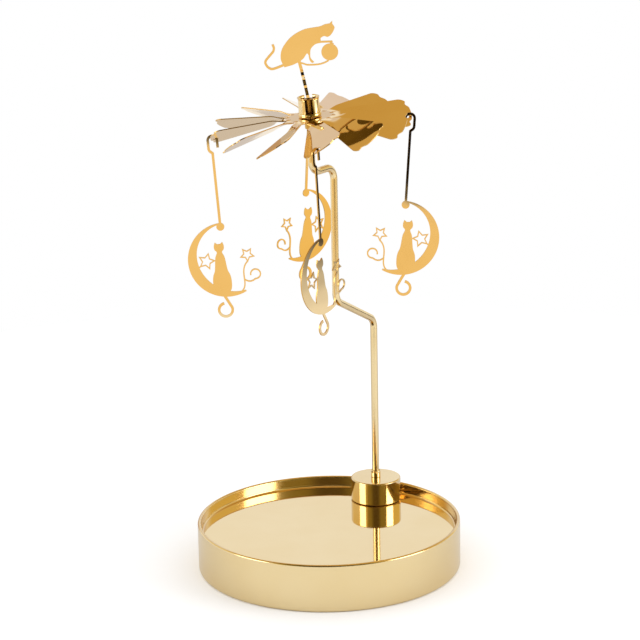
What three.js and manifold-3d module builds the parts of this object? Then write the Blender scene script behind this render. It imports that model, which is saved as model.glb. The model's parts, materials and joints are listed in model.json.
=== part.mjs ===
// Candle carousel: a round tray for a candle, a bent stem on a magnetic weight, and a vaned
// rotor that balances on the stem's point and carries four hanging moon pendants.
// Millimetres, +Z up. The origin is the centre of the tray's underside, and +Y is the back.
import * as THREE from 'three';
import { mergeVertices } from 'three/addons/utils/BufferGeometryUtils.js';
import Module from 'manifold-3d';

const wasm = await Module();
wasm.setup();

// Clearances
const seatGap = 0.3; // air left between pieces that rest on, or are pressed into, each other
const overrun = 1; // how far a cutting solid reaches past what it cuts
const weldDistance = 0.0001;

// Tray, pressed from one sheet: skirt, folded rim, sunk candle floor and turned-in foot
const trayRadius = 52.5;
const trayHeight = 19.3;
const traySheet = 0.75;
const floorDepth = 4.5; // rim down to the candle floor
const floorCove = 0.9;
const footWidth = 4;
const footRound = 1.4;

// Stem weight and what it holds
const weightRadius = 10.3;
const weightHeight = 9.5;
const weightChamfer = 0.5;
const weightInset = 0.5; // between the weight and the tray's wall
const weightBearing = THREE.MathUtils.degToRad(60.4);
const magnetRadius = 6;
const magnetHeight = 2.8;
const ferruleWall = 0.35;
const ferruleHeight = 2.8;
const rodDepth = 5; // how deep the rod stands in the weight

// Stem rod, bent in one upright plane that heads from the weight to the spin axis
const rodDiameter = 2.9;
const rodHeading = THREE.MathUtils.degToRad(235.9);
const axisOffset = 2.3; // how far past the tray's centre the rod reaches
const shoulderHeight = 92; // where the foot run meets the slanted run
const kneeHeight = 106;
const crankReach = 15.2; // upper run to the riser
const crankHeight = 160.3;
const bendRadius = 5;
const riserHeight = 12; // crank to the start of the rod's tapered end
const taperLength = 3;
const needleDiameter = 0.9;
const needleTip = 0.2;
const needleLength = 7.5;

// Rotor: it balances off level on the needle, its heavy side down
const rotorPitch = THREE.MathUtils.degToRad(2.7);
const rotorRoll = THREE.MathUtils.degToRad(-4.6);
const vanePhase = THREE.MathUtils.degToRad(6.4);
const vaneCount = 12;
const vaneSheet = 0.4;
const hubRise = 2.2; // needle point to the middle of the hub's sheet
const hubRadius = 8.7;
const vaneRadius = 38.9;
const vaneEdgeRadius = 20; // the outer edge bulges more than a circle about the hub would
const vaneTwist = THREE.MathUtils.degToRad(28);
const vaneDroop = THREE.MathUtils.degToRad(6.5);
const twistLength = 7; // radial length over which a vane turns to its full twist
const rootWidth = 4.1;
const tipWidth = 17.8;
const cornerRound = 2.4;
const scallopRadius = 1.7;
const scallopDepth = 0.8;
const scallopOffset = 5.2; // vane's middle line to the middle of a scallop
const reliefRadius = 9.7; // hub centre to the round end of each slit
const reliefDiameter = 1.7;
const hubHole = 2;

// Hooks and the holes that they hang in
const hookHole = 2.3;
const hookHoleOffset = -2; // from the vane's middle line, towards its low edge
const hookHoleInset = 2.3; // from the vane's outer edge
const hookOpening = 2.55;
const hookDrop = 5.6; // inside of the hook's top down to the strip
const hookTipDrop = 4.2;
const hookGap = 0.45; // above the vane, so that the hook can rock
const hookShift = 0.2; // the leg in the hole leans to the hub side
const hangers = [
  { side: 'left', vane: 6, turn: THREE.MathUtils.degToRad(-6) },
  { side: 'front', vane: 9, turn: THREE.MathUtils.degToRad(-42) },
  { side: 'right', vane: 0, turn: THREE.MathUtils.degToRad(-6) },
  { side: 'back', vane: 3, turn: THREE.MathUtils.degToRad(-58) },
];

// Bearing cup, slotted post and split crown at the hub
const cupRadius = 2.4;
const cupDepth = 2.2; // below the needle's point
const coneMouth = 1.7;
const coneDepth = 0.5; // above the needle's point
const spigotDiameter = 1.5;
const spigotDepth = 0.5;
const crownRadius = 4.5;
const crownTopRadius = 4.05;
const crownHeight = 7.4;
const crownWall = 0.5;
const crownFloor = 0.6;
const crownBead = 1.2;
const crownFlare = 0.35;
const crownSlot = 3;
const crownSlotSill = 0.7;
const crownBackDrop = 1.6;
const postRadius = 1.95;
const postHeight = 5.8;
const postSlit = 1.1;
const postSlitDepth = 4.4;

// Sheet ornaments
const ornamentSheet = 0.5;
const wireWidth = 1;
const lineWidth = 0.75;
const moonRadius = 14.8;
const stripShift = -0.4; // strip's line to the middle of the hook
const moonShift = 0.5; // moon centre to the middle of the hook
const moonDrop = 48.5; // hook to moon centre
const moonStart = THREE.MathUtils.degToRad(96);
const moonEnd = THREE.MathUtils.degToRad(297);
const moonBand = 4.1;
const moonTip = 0.6;
const knobRadius = 1.55;
const catHeight = 21.4;
const catHalfWidth = 3.65;
const catShift = -1.8;
const starRadius = 3.6;
const starLine = 0.7;
const curlRadius = 2.65;
const curlDrop = 5.2; // moon's lowest edge to the middle of the curl
const curlShift = -1.6;
const sprigStarRadius = 3.1;
const sprigCurlRadius = 1.9;

// Top figure, on its own strip
const figureStrip = 1.2;
const figureFoot = 3.8; // strip below the crown's rim
const figureLength = 14; // rim to the figure
const figureSize = 22;
const figureLean = THREE.MathUtils.degToRad(12.3);
const baubleRadius = 3.2;
const baubleCap = 1.5;
const groundLine = 0.6;
const tailLine = 0.9;

// Places that follow from the sizes above
const knobDrop = moonDrop - moonRadius + knobRadius;
const floorTop = trayHeight - floorDepth;
const wallRadius = trayRadius - 2 * traySheet; // inner face of the tray's wall
const rodRadius = rodDiameter / 2;
const weightBase = floorTop + seatGap / 2;
const weightTop = weightBase + weightHeight;
const weightPlace = wallRadius - weightInset - weightRadius; // tray centre to weight centre
const weightX = weightPlace * Math.cos(weightBearing);
const weightY = weightPlace * Math.sin(weightBearing);
const rodReach = weightPlace + axisOffset; // weight centre to spin axis
const kneeReach = rodReach - crankReach;
const axisX = weightX + rodReach * Math.cos(rodHeading);
const axisY = weightY + rodReach * Math.sin(rodHeading);
const needleBase = crankHeight + riserHeight + seatGap;
const pivotHeight = needleBase + needleLength; // the needle's point
const hubTop = hubRise + vaneSheet / 2;
const hubUnder = hubRise - vaneSheet / 2;
const crownBase = hubTop + seatGap;
const crownFloorTop = crownBase + crownFloor;
const crownRim = crownBase + crownHeight;

// Facets
const roundSides = 52;
const crownSides = 36;
const smallSides = 24;
const cutSides = 10;
const wireSides = 12;
const hubSides = 48;
const bendSteps = 5;
const arcSteps = 2;
const moonSteps = 17;
const tailSteps = 16;

const gold = { color: '#e2b46a', metalness: 1, roughness: 0.12 };
const deepGold = { color: '#d39c46', metalness: 1, roughness: 0.14 };
const brass = { color: '#c99a4c', metalness: 1, roughness: 0.3 };
const steel = { color: '#b9b9b6', metalness: 1, roughness: 0.28 };

// A geometry with shared corners and no empty triangles
function welded(geometry) {
  geometry.deleteAttribute('normal');
  geometry.deleteAttribute('uv');
  const merged = mergeVertices(geometry, weldDistance);
  const corners = merged.index.array;
  const kept = [];
  for (let i = 0; i < corners.length; i += 3) {
    const [a, b, c] = [corners[i], corners[i + 1], corners[i + 2]];
    if (a !== b && b !== c && c !== a) {
      kept.push(a, b, c);
    }
  }
  merged.setIndex(kept);
  return merged;
}

function toSolid(geometry) {
  const closed = welded(geometry);
  return new wasm.Manifold(new wasm.Mesh({
    numProp: 3,
    vertProperties: new Float32Array(closed.attributes.position.array),
    triVerts: new Uint32Array(closed.index.array),
  }));
}

function toGeometry(solid) {
  const mesh = solid.getMesh();
  const geometry = new THREE.BufferGeometry();
  geometry.setAttribute('position', new THREE.BufferAttribute(mesh.vertProperties, 3));
  geometry.setIndex([...mesh.triVerts]);
  geometry.computeVertexNormals();
  return geometry;
}

function joined(geometries) {
  return geometries.map(toSolid).reduce((sum, next) => sum.add(next));
}

// A turned piece: the outline is in radius and height, round the Z axis
function turned(outline, sides) {
  const geometry = new THREE.LatheGeometry(outline.getPoints(arcSteps), sides);
  geometry.rotateX(Math.PI / 2);
  return welded(geometry);
}

function outlineOf(points) {
  const outline = new THREE.Path();
  outline.moveTo(points[0][0], points[0][1]);
  points.slice(1).forEach(([r, z]) => outline.lineTo(r, z));
  return outline;
}

// An upright cylinder from one height to another
function upright(radius, low, high, sides) {
  const geometry = new THREE.CylinderGeometry(radius, radius, high - low, sides);
  geometry.rotateX(Math.PI / 2);
  geometry.translate(0, 0, (low + high) / 2);
  return geometry;
}

function block(width, depth, height, x, y, z) {
  const geometry = new THREE.BoxGeometry(width, depth, height);
  geometry.translate(x, y, z);
  return geometry;
}

// Flat sheet in the XY plane, half its thickness to each side
function sheetOf(shape, thickness) {
  const geometry = new THREE.ExtrudeGeometry(shape, {
    depth: thickness,
    bevelEnabled: false,
    curveSegments: arcSteps,
  });
  geometry.translate(0, 0, -thickness / 2);
  return geometry;
}

// The outline of a line of even width drawn through points
function bandShape(points, width) {
  const one = [];
  const other = [];
  points.forEach((point, i) => {
    const before = points[Math.max(i - 1, 0)];
    const after = points[Math.min(i + 1, points.length - 1)];
    const along = after.clone().sub(before).normalize();
    const side = new THREE.Vector2(-along.y, along.x).multiplyScalar(width / 2);
    one.push(point.clone().add(side));
    other.unshift(point.clone().sub(side));
  });
  return new THREE.Shape([...one, ...other]);
}

function starPoints(x, y, radius, start) {
  const hollowShare = 0.5;
  const tips = 5;
  const points = [];
  for (let i = 0; i < tips * 2; i += 1) {
    const reach = i % 2 === 0 ? radius : radius * hollowShare;
    const angle = start + (i * Math.PI) / tips;
    points.push(new THREE.Vector2(x + reach * Math.cos(angle), y + reach * Math.sin(angle)));
  }
  return points;
}

// A five-pointed star drawn as a line
function starShape(x, y, radius, start) {
  const shape = new THREE.Shape(starPoints(x, y, radius, start));
  shape.holes.push(new THREE.Path(starPoints(x, y, radius - 2 * starLine, start).reverse()));
  return shape;
}

function scaledPoints(shares, x, y, width, height) {
  return shares.map(([u, v]) => new THREE.Vector2(x + u * width, y + v * height));
}

function makeTray() {
  const skirtInner = trayRadius - traySheet;
  const outline = new THREE.Path();
  outline.moveTo(0, floorTop - traySheet);
  outline.lineTo(skirtInner, floorTop - traySheet);
  outline.absarc(skirtInner - footRound + traySheet, footRound, footRound - traySheet, 0, -Math.PI / 2, true);
  outline.lineTo(trayRadius - footWidth, traySheet);
  outline.lineTo(trayRadius - footWidth, 0);
  outline.absarc(trayRadius - footRound, footRound, footRound, -Math.PI / 2, 0, false);
  outline.absarc(skirtInner, trayHeight - traySheet, traySheet, 0, Math.PI, false);
  outline.absarc(wallRadius - floorCove, floorTop + floorCove, floorCove, 0, -Math.PI / 2, true);
  outline.lineTo(0, floorTop);
  return turned(outline, roundSides);
}

function makeWeight() {
  const rodHole = rodRadius + seatGap / 2;
  const solid = toSolid(turned(outlineOf([
    [0, 0],
    [weightRadius - weightChamfer, 0],
    [weightRadius, weightChamfer],
    [weightRadius, weightHeight - weightChamfer],
    [weightRadius - weightChamfer, weightHeight],
    [0, weightHeight],
  ]), roundSides / 2));
  const pocket = upright(magnetRadius + seatGap, -overrun, magnetHeight + seatGap, smallSides);
  const socket = upright(rodHole, weightHeight - rodDepth, weightHeight + overrun, smallSides);
  return toGeometry(solid.subtract(toSolid(pocket)).subtract(toSolid(socket)));
}

function makeFerrule() {
  const inner = rodRadius + seatGap / 2;
  const outer = inner + ferruleWall;
  return turned(outlineOf([
    [inner, 0],
    [outer, 0],
    [outer, ferruleHeight - ferruleWall],
    [inner, ferruleHeight],
    [inner, 0],
  ]), smallSides);
}

// A wire of straight runs and round bends, whose parameter goes a step for each run and
// several for each bend, so that the section turns only where the wire does
class BentWire extends THREE.Curve {
  constructor(corners, radius, steps) {
    super();
    this.stations = [corners[0]];
    for (let i = 1; i < corners.length - 1; i += 1) {
      const into = corners[i].clone().sub(corners[i - 1]).normalize();
      const out = corners[i + 1].clone().sub(corners[i]).normalize();
      const turn = into.angleTo(out);
      const setBack = radius * Math.tan(turn / 2);
      const start = corners[i].clone().addScaledVector(into, -setBack);
      const inward = out.clone().addScaledVector(into, -out.dot(into)).normalize();
      for (let k = 0; k <= steps; k += 1) {
        const angle = (turn * k) / steps;
        this.stations.push(start.clone()
          .addScaledVector(into, radius * Math.sin(angle))
          .addScaledVector(inward, radius * (1 - Math.cos(angle))));
      }
    }
    this.stations.push(corners[corners.length - 1]);
    this.runs = this.stations.length - 1;
  }

  getPoint(t, target = new THREE.Vector3()) {
    const place = Math.min(t * this.runs, this.runs - weldDistance);
    const run = Math.max(Math.floor(place), 0);
    return target.lerpVectors(this.stations[run], this.stations[run + 1], place - run);
  }

  getUtoTmapping(u) {
    return u;
  }
}

function onRodPlane(reach, height) {
  return new THREE.Vector3(reach * Math.cos(rodHeading), reach * Math.sin(rodHeading), height);
}

function makeRod() {
  const rodBase = weightTop - rodDepth + seatGap;
  const taperBase = crankHeight + riserHeight;
  const wire = new BentWire([
    onRodPlane(0, rodBase),
    onRodPlane(0, shoulderHeight),
    onRodPlane(kneeReach, kneeHeight),
    onRodPlane(kneeReach, crankHeight),
    onRodPlane(rodReach, crankHeight),
    onRodPlane(rodReach, taperBase),
  ], bendRadius, bendSteps);
  const section = new THREE.Shape();
  section.absarc(0, 0, rodRadius, 0, 2 * Math.PI, false);
  const rod = new THREE.ExtrudeGeometry(new THREE.Shape(section.getSpacedPoints(wireSides).slice(1)), {
    steps: wire.runs,
    extrudePath: wire,
  });
  const bore = needleDiameter / 2 + seatGap / 2;
  const taperTop = taperBase + taperLength;
  const end = turned(outlineOf([
    [0, taperBase - rodRadius],
    [rodRadius, taperBase - rodRadius],
    [rodRadius, taperBase],
    [bore + ferruleWall, taperTop],
    [0, taperTop],
  ]), smallSides);
  end.translate(rodReach * Math.cos(rodHeading), rodReach * Math.sin(rodHeading), 0);
  const hole = upright(bore, taperBase, taperTop + overrun, smallSides);
  hole.translate(rodReach * Math.cos(rodHeading), rodReach * Math.sin(rodHeading), 0);
  return toGeometry(joined([rod, end]).subtract(toSolid(hole)));
}

function makeNeedle() {
  const radius = needleDiameter / 2;
  return turned(outlineOf([
    [0, needleBase],
    [radius, needleBase],
    [radius, pivotHeight - 3 * radius],
    [needleTip / 2, pivotHeight],
    [0, pivotHeight],
  ]), cutSides);
}

// A point of the middle surface of a vane that lies along +X
function onVane(radius, across) {
  const past = Math.max(radius - hubRadius, 0);
  const twist = vaneTwist * THREE.MathUtils.smoothstep(past, 0, twistLength);
  return new THREE.Vector3(
    radius,
    across * Math.cos(twist),
    hubRise - past * Math.tan(vaneDroop) + across * Math.sin(twist),
  );
}

function vaneHalfWidth(radius) {
  return THREE.MathUtils.mapLinear(radius, hubRadius, vaneRadius, rootWidth, tipWidth) / 2;
}

// The vane's outer edge, bulged and rounded off at both corners
function vaneReach(across) {
  const past = Math.max(Math.abs(across) - (tipWidth / 2 - cornerRound), 0) / cornerRound;
  const bulge = Math.sqrt(vaneEdgeRadius ** 2 - across ** 2);
  const round = cornerRound * Math.sqrt(Math.max(1 - past ** 2, 0));
  return vaneRadius - vaneEdgeRadius + bulge - cornerRound + round;
}

// A round cutter square to the vane's outer part
function vaneCutter(cutRadius, radius, across, sides) {
  const cutter = upright(cutRadius, -overrun, overrun, sides);
  cutter.rotateX(vaneTwist);
  cutter.rotateY(vaneDroop);
  const place = onVane(radius, across);
  cutter.translate(place.x, place.y, place.z);
  return cutter;
}

function makeVane(withHole) {
  const lengthSteps = 5;
  const widthSteps = 8;
  const rootRadius = hubRadius - rootWidth / 2;
  const vane = new THREE.BoxGeometry(1, 1, 1, lengthSteps, widthSteps, 1);
  const places = vane.attributes.position;
  for (let i = 0; i < places.count; i += 1) {
    // steps crowd towards the root, where the vane twists, and towards its corners
    const lengthShare = (places.getX(i) + 0.5) ** 2;
    const acrossShare = Math.sin(Math.sin(places.getY(i) * Math.PI) * (Math.PI / 2));
    const reach = vaneReach((acrossShare * tipWidth) / 2);
    const radius = THREE.MathUtils.lerp(rootRadius, reach, lengthShare);
    const across = acrossShare * vaneHalfWidth(Math.max(radius, hubRadius));
    const point = onVane(radius, across);
    const past = Math.max(radius - hubRadius, 0);
    const twist = vaneTwist * THREE.MathUtils.smoothstep(past, 0, twistLength);
    const lift = places.getZ(i) * vaneSheet;
    places.setXYZ(i, point.x, point.y - lift * Math.sin(twist), point.z + lift * Math.cos(twist));
  }
  let solid = toSolid(vane);
  [-scallopOffset, scallopOffset].forEach((across) => {
    const radius = vaneReach(across) + scallopRadius - scallopDepth;
    solid = solid.subtract(toSolid(vaneCutter(scallopRadius, radius, across, cutSides)));
  });
  if (withHole) {
    const hole = vaneCutter(hookHole / 2, vaneRadius - hookHoleInset, hookHoleOffset, cutSides);
    solid = solid.subtract(toSolid(hole));
  }
  return toGeometry(solid);
}

function makeRotor() {
  const plain = makeVane(false);
  const holed = makeVane(true);
  const hub = upright(hubRadius, hubUnder, hubTop, hubSides);
  hub.rotateZ(vanePhase);
  let solid = toSolid(hub);
  for (let i = 0; i < vaneCount; i += 1) {
    const azimuth = vanePhase + (i * 2 * Math.PI) / vaneCount;
    const vane = (hangers.some((hanger) => hanger.vane === i) ? holed : plain).clone();
    solid = solid.add(toSolid(vane.rotateZ(azimuth)));
  }
  for (let i = 0; i < vaneCount; i += 1) {
    const azimuth = vanePhase + ((i + 1 / 2) * 2 * Math.PI) / vaneCount;
    const relief = upright(reliefDiameter / 2, hubUnder - overrun, hubTop + overrun, cutSides);
    relief.translate(reliefRadius - reliefDiameter / 2, 0, 0);
    solid = solid.subtract(toSolid(relief.rotateZ(azimuth)));
  }
  const centre = upright(hubHole / 2, hubUnder - overrun, hubTop + overrun, smallSides);
  return toGeometry(solid.subtract(toSolid(centre)));
}

function makeCup() {
  const top = hubUnder - seatGap;
  const bore = spigotDiameter / 2 + seatGap / 2;
  const boreFloor = top - spigotDepth - seatGap;
  return turned(outlineOf([
    [0, coneDepth],
    [coneMouth, -cupDepth],
    [cupRadius, -cupDepth],
    [cupRadius, top],
    [bore, top],
    [bore, boreFloor],
    [0, boreFloor],
  ]), smallSides);
}

function makePost() {
  const base = crownFloorTop + seatGap;
  const radius = spigotDiameter / 2;
  const foot = hubUnder - seatGap - spigotDepth;
  const post = toSolid(turned(outlineOf([
    [0, foot],
    [radius, foot],
    [radius, base],
    [postRadius, base],
    [postRadius, base + postHeight],
    [0, base + postHeight],
  ]), smallSides));
  const slitHeight = postSlitDepth + overrun;
  const slitMiddle = base + postHeight - postSlitDepth + slitHeight / 2;
  const slit = block(2 * postRadius + overrun, postSlit, slitHeight, 0, 0, slitMiddle);
  return toGeometry(post.subtract(toSolid(slit)));
}

function makeCrown() {
  const bore = spigotDiameter / 2 + seatGap / 2;
  const shoulder = crownRadius - crownWall / 2;
  const tube = toSolid(turned(outlineOf([
    [bore, crownBase],
    [crownRadius, crownBase],
    [crownRadius, crownBase + crownBead],
    [shoulder, crownBase + crownBead + crownWall / 2],
    [crownTopRadius, crownRim - 2 * crownFlare],
    [crownTopRadius + crownFlare, crownRim],
    [crownTopRadius + crownFlare - crownWall, crownRim],
    [crownTopRadius - crownWall, crownRim - 2 * crownFlare],
    [shoulder - crownWall, crownFloorTop],
    [bore, crownFloorTop],
    [bore, crownBase],
  ]), crownSides));
  const slotLow = crownFloorTop + crownSlotSill;
  const slotHeight = crownRim + overrun - slotLow;
  const front = block(crownSlot, 2 * crownRadius, slotHeight, 0, -crownRadius, slotLow + slotHeight / 2);
  const backHeight = crownBackDrop + overrun;
  const backMiddle = crownRim - crownBackDrop + backHeight / 2;
  const back = block(crownSlot, 2 * crownRadius, backHeight, 0, crownRadius, backMiddle);
  return toGeometry(tube.subtract(toSolid(front)).subtract(toSolid(back)));
}

// Upright cat from ear to base; each side is the mirror of the other
function catShape(x, base) {
  const sideShares = [
    [0.16, 0.965],
    [0.4, 1],
    [0.53, 0.93],
    [0.49, 0.865],
    [0.28, 0.812],
    [0.5, 0.71],
    [0.62, 0.55],
    [0.71, 0.46],
    [0.92, 0.37],
    [1, 0.25],
    [0.92, 0.12],
    [0.6, 0.04],
  ];
  const right = scaledPoints(sideShares, x, base, catHalfWidth, catHeight);
  const left = scaledPoints(sideShares.map(([u, v]) => [-u, v]), x, base, catHalfWidth, catHeight);
  const shape = new THREE.Shape();
  shape.moveTo(right[0].x, right[0].y);
  shape.lineTo(right[1].x, right[1].y);
  shape.splineThru(right.slice(2));
  shape.lineTo(left[left.length - 1].x, left[left.length - 1].y);
  shape.splineThru(left.slice(1, -1).reverse());
  shape.lineTo(left[0].x, left[0].y);
  return new THREE.Shape(shape.getPoints(arcSteps));
}

// Crescent whose width swells from tip to tip
function moonShape(x, y) {
  const leanShare = 1.2;
  const outer = [];
  const inner = [];
  for (let i = 0; i <= moonSteps; i += 1) {
    const along = i / moonSteps;
    const angle = THREE.MathUtils.lerp(moonStart, moonEnd, along);
    const width = moonTip + (moonBand - moonTip) * Math.sin(Math.PI * along ** leanShare);
    outer.push(new THREE.Vector2(x + moonRadius * Math.cos(angle), y + moonRadius * Math.sin(angle)));
    inner.unshift(new THREE.Vector2(
      x + (moonRadius - width) * Math.cos(angle),
      y + (moonRadius - width) * Math.sin(angle),
    ));
  }
  return new THREE.Shape([...outer, ...inner]);
}

function hookShape() {
  const middle = (hookOpening + wireWidth) / 2;
  const crown = -hookOpening / 2;
  const path = new THREE.Path();
  path.moveTo(middle, -hookTipDrop);
  path.absarc(0, crown, middle, 0, Math.PI, false);
  path.lineTo(-middle, -hookTipDrop);
  path.quadraticCurveTo(-middle, -hookDrop, stripShift, -hookDrop - wireWidth / 2);
  path.lineTo(stripShift, -knobDrop);
  return bandShape(path.getPoints(arcSteps + 1), wireWidth);
}

function tailShape() {
  const top = -moonDrop - moonRadius;
  const centre = new THREE.Vector2(curlShift, top - curlDrop);
  const startAngle = THREE.MathUtils.degToRad(35);
  const endAngle = THREE.MathUtils.degToRad(-262);
  const start = new THREE.Vector2(curlRadius, 0).rotateAround(new THREE.Vector2(), startAngle).add(centre);
  const path = new THREE.Path();
  path.moveTo(curlShift, top + moonTip);
  path.quadraticCurveTo(curlShift + lineWidth, top - lineWidth, start.x, start.y);
  path.absarc(centre.x, centre.y, curlRadius, startAngle, endAngle, true);
  return bandShape(path.getPoints(arcSteps * 2), lineWidth + moonTip / 2);
}

// Sprig on the moon's open side: a curved stem with a star, and a side curl
function sprigShapes(x, y) {
  const stemShares = [[0.25, -0.935], [0.61, -0.777], [0.27, -0.37], [0.545, -0.1]];
  const curlShares = [[0.425, -0.56], [0.56, -0.7], [0.73, -0.45]];
  const starShare = [0.56, 0.085];
  const [foot, first, second, tip] = scaledPoints(stemShares, x, y, moonRadius, moonRadius);
  const [root, knee, curl] = scaledPoints(curlShares, x, y, moonRadius, moonRadius);
  const stem = new THREE.CubicBezierCurve(foot, first, second, tip);
  const startAngle = THREE.MathUtils.degToRad(-95);
  const endAngle = THREE.MathUtils.degToRad(190);
  const tendril = new THREE.Path();
  tendril.moveTo(root.x, root.y);
  tendril.quadraticCurveTo(
    knee.x,
    knee.y,
    curl.x + sprigCurlRadius * Math.cos(startAngle),
    curl.y + sprigCurlRadius * Math.sin(startAngle),
  );
  tendril.absarc(curl.x, curl.y, sprigCurlRadius, startAngle, endAngle, false);
  return [
    bandShape(stem.getPoints(arcSteps * 3), lineWidth),
    bandShape(tendril.getPoints(arcSteps + 1), lineWidth),
    starShape(x + starShare[0] * moonRadius, y + starShare[1] * moonRadius, sprigStarRadius, -Math.PI / 2),
  ];
}

// One pendant, etched from one sheet, in the XY plane with the inside of its hook's top at the origin
function makePendant() {
  const starShare = -0.515;
  const tieShares = [0.8, 1.3];
  const tieAngle = THREE.MathUtils.degToRad(216); // along one of the star's points, to the moon
  const moonX = moonShift;
  const moonY = -moonDrop;
  const knob = new THREE.Shape();
  knob.absarc(stripShift, -knobDrop, knobRadius, 0, 2 * Math.PI, false);
  const star = new THREE.Vector2(moonX + starShare * moonRadius, moonY);
  const tie = tieShares.map((share) => star.clone().add(
    new THREE.Vector2(Math.cos(tieAngle), Math.sin(tieAngle)).multiplyScalar(share * starRadius),
  ));
  const shapes = [
    hookShape(),
    new THREE.Shape(knob.getSpacedPoints(smallSides / 2).slice(1)),
    moonShape(moonX, moonY),
    catShape(catShift, moonY - moonRadius + moonTip),
    starShape(star.x, star.y, starRadius, 0),
    bandShape(tie, starLine),
    tailShape(),
    ...sprigShapes(moonX, moonY),
  ];
  return joined(shapes.map((shape) => sheetOf(shape, ornamentSheet)));
}

// The middle of a solid's volume, from the pyramids that its triangles make with the origin
function centroid(geometry) {
  const places = geometry.attributes.position;
  const corners = geometry.index;
  const sum = new THREE.Vector3();
  let volume = 0;
  for (let i = 0; i < corners.count; i += 3) {
    const [a, b, c] = [0, 1, 2].map((k) => (
      new THREE.Vector3().fromBufferAttribute(places, corners.getX(i + k))
    ));
    const part = a.dot(b.clone().cross(c));
    volume += part;
    sum.addScaledVector(a.add(b).add(c), part / 4);
  }
  return sum.divideScalar(volume);
}

// The top figure: a crouching cat that reaches for a bauble, on a strip that stands at the origin
function makeFigure() {
  const backShares = [
    [-0.3, 0.155],
    [-0.232, 0.325],
    [-0.04, 0.485],
    [0.207, 0.563],
    [0.478, 0.552],
    [0.575, 0.567],
    [0.66, 0.562],
  ];
  const earShares = [[0.718, 0.597], [0.705, 0.545]];
  const faceShares = [
    [0.729, 0.478],
    [0.687, 0.412],
    [0.628, 0.36],
    [0.572, 0.345],
    [0.516, 0.372],
    [0.452, 0.352],
  ];
  const armShares = [
    [0.445, 0.302],
    [0.64, 0.262],
    [0.64, 0.228],
    [0.45, 0.268],
  ];
  const chestShares = [
    [0.342, 0.268],
    [0.25, 0.21],
    [0.215, 0.118],
    [0.209, 0.045],
    [0.25, -0.03],
  ];
  const legShares = [
    [0.207, -0.034],
    [0.178, 0.03],
    [0.181, 0.11],
    [0.158, 0.142],
    [0.092, 0.08],
    [0.01, 0.035],
  ];
  const baseShares = [[-0.12, 0.006], [-0.27, -0.002]];
  const groundShares = [
    [0, 0.02],
    [0.065, -0.016],
    [0.132, -0.053],
    [0.3, -0.085],
    [0.41, -0.083],
    [0.5, -0.06],
  ];
  const tailShares = [
    [-0.24, 0.045],
    [-0.457, 0.016],
    [-0.53, 0.045],
    [-0.568, 0.11],
    [-0.562, 0.18],
    [-0.45, 0.27],
    [-0.398, 0.31],
    [-0.37, 0.368],
    [-0.378, 0.435],
  ];
  const baubleShare = [0.551, 0.079];
  const place = (shares) => scaledPoints(shares, 0, figureLength, figureSize, figureSize);
  const cat = new THREE.Shape();
  const [rump, haunch] = place(baseShares).reverse();
  cat.moveTo(rump.x, rump.y);
  cat.splineThru(place(backShares));
  place(earShares).forEach((point) => cat.lineTo(point.x, point.y));
  cat.splineThru(place(faceShares));
  place(armShares).forEach((point) => cat.lineTo(point.x, point.y));
  cat.splineThru(place(chestShares));
  const [heel, ...leg] = place(legShares);
  cat.lineTo(heel.x, heel.y);
  cat.splineThru(leg);
  cat.lineTo(haunch.x, haunch.y);
  const [ball] = place([baubleShare]);
  const bauble = new THREE.Shape();
  bauble.absarc(ball.x, ball.y, baubleRadius, 0, 2 * Math.PI, false);
  const hand = place([armShares[1]])[0];
  const foot = new THREE.Vector2(0, -figureFoot);
  const top = new THREE.Vector2(0, figureLength + figureStrip);
  const capShare = 0.2;
  const shapes = [
    bandShape([foot, top], figureStrip),
    new THREE.Shape(cat.getPoints(arcSteps)),
    new THREE.Shape(bauble.getSpacedPoints(smallSides).slice(1)),
    bandShape([ball, hand.lerp(ball, capShare)], baubleCap),
    bandShape(new THREE.SplineCurve(place(groundShares)).getPoints(smallSides / 2), groundLine),
    bandShape(new THREE.SplineCurve(place(tailShares)).getPoints(tailSteps), tailLine),
  ];
  return toGeometry(joined(shapes.map((shape) => sheetOf(shape, ornamentSheet))));
}

function addPiece(group, name, geometry, finish) {
  const mesh = new THREE.Mesh(geometry, new THREE.MeshStandardMaterial(finish));
  mesh.name = name;
  group.add(mesh);
  return mesh;
}

const carousel = new THREE.Group();

addPiece(carousel, 'tray_pan', makeTray(), gold);

const stem = new THREE.Group();
stem.position.set(weightX, weightY, 0);
carousel.add(stem);
addPiece(stem, 'stem_weight', makeWeight(), gold).position.z = weightBase;
addPiece(stem, 'stem_magnet', upright(magnetRadius, 0, magnetHeight, smallSides), steel)
  .position.z = weightBase + seatGap / 2;
addPiece(stem, 'stem_ferrule', makeFerrule(), gold).position.z = weightTop + seatGap / 2;
addPiece(stem, 'stem_rod', makeRod(), gold);
addPiece(stem, 'pivot_needle', makeNeedle(), steel)
  .position.set(rodReach * Math.cos(rodHeading), rodReach * Math.sin(rodHeading), 0);

// Everything in this group turns with the rotor, and leans with it about the needle's point
const rotor = new THREE.Group();
rotor.position.set(axisX, axisY, pivotHeight);
rotor.rotation.set(rotorPitch, rotorRoll, 0);
carousel.add(rotor);
addPiece(rotor, 'vane_rotor', makeRotor(), deepGold);
addPiece(rotor, 'bearing_cup', makeCup(), brass);
addPiece(rotor, 'slotted_post', makePost(), brass);
addPiece(rotor, 'split_crown', makeCrown(), gold);
const figure = addPiece(rotor, 'cat_figure', makeFigure().rotateX(Math.PI / 2), deepGold);
figure.position.z = crownRim - crownBackDrop / 2;
figure.rotation.y = -figureLean - rotorRoll;
carousel.updateMatrixWorld(true);

// Each pendant hangs plumb from its hole, with its own middle under the hook
const pendant = toGeometry(makePendant());
const middle = centroid(pendant);
pendant.rotateZ(-Math.PI / 2 - Math.atan2(middle.y, middle.x));
pendant.rotateX(Math.PI / 2);

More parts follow.
